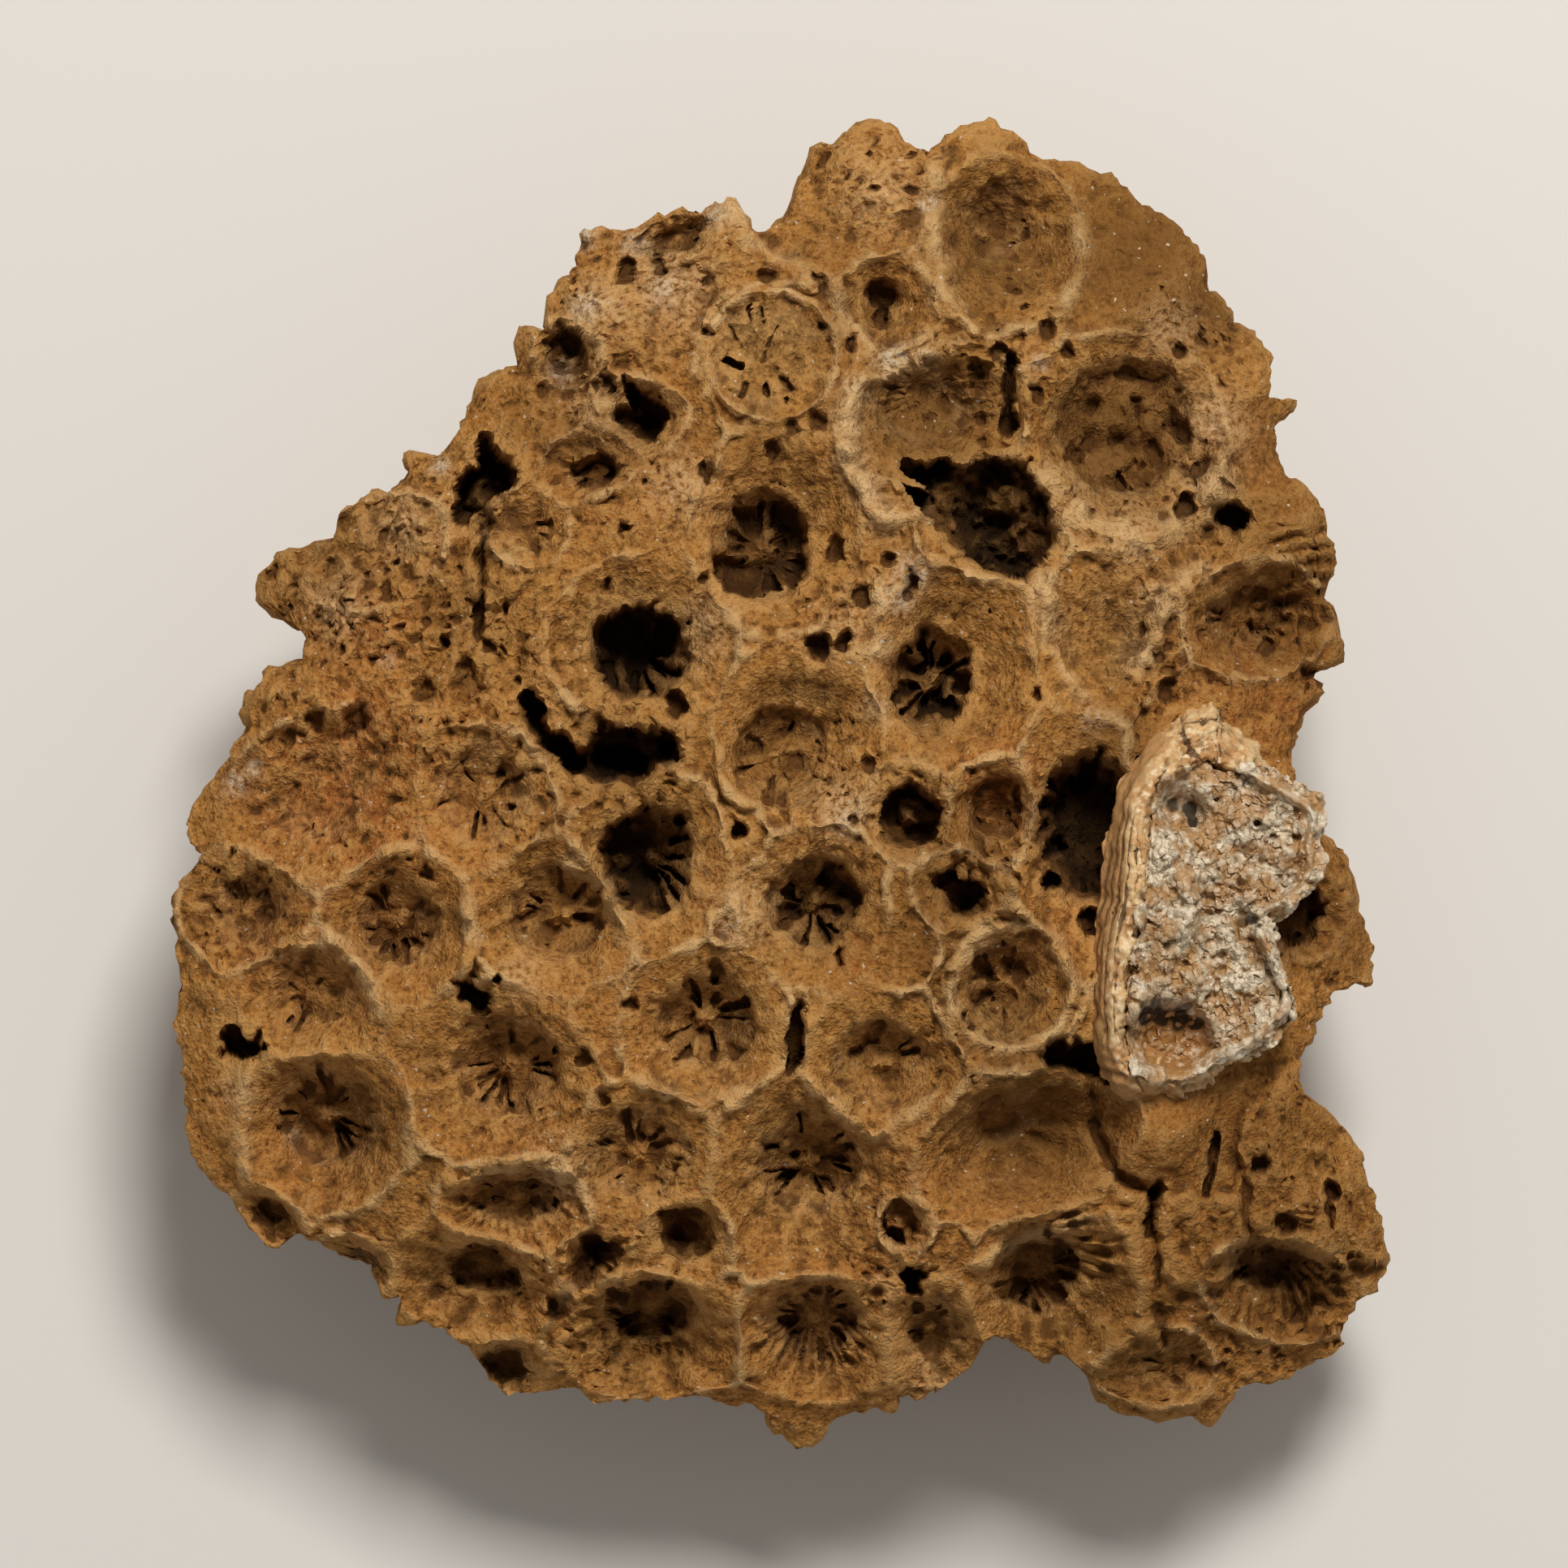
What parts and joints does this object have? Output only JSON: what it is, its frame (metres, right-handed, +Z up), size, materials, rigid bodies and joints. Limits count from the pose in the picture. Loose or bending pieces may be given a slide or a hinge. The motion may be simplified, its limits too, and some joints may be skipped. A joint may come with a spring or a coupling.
{
  "type": "fossil colonial rugose coral",
  "caption": "Rounded fossil coral colony with crowded bowl-shaped calices, a flat sawn base, and a broken horn coral lined with calcite lodged in its crown.",
  "frame": {"origin": "on the flat base, under the middle of the colony's outer box", "axes": "+Z up from the sawn base to the crown, +Y along the colony's long way, towards the picture's top, and +X to the picture's right"},
  "size_m": [0.1078, 0.1174, 0.0484],
  "materials": {
    "coral_limestone": "dull, granular ochre-brown silicified limestone",
    "horn_coral_calcite": "dull cream calcite with tan growth lines",
    "calcite_crystals": "grey-white sparry crystals with a slight glitter"
  },
  "bodies": {
    "root": {"coral_colony": "coral_limestone", "horn_coral": "horn_coral_calcite", "calcite_crust": "calcite_crystals"}
  },
  "joints": []
}
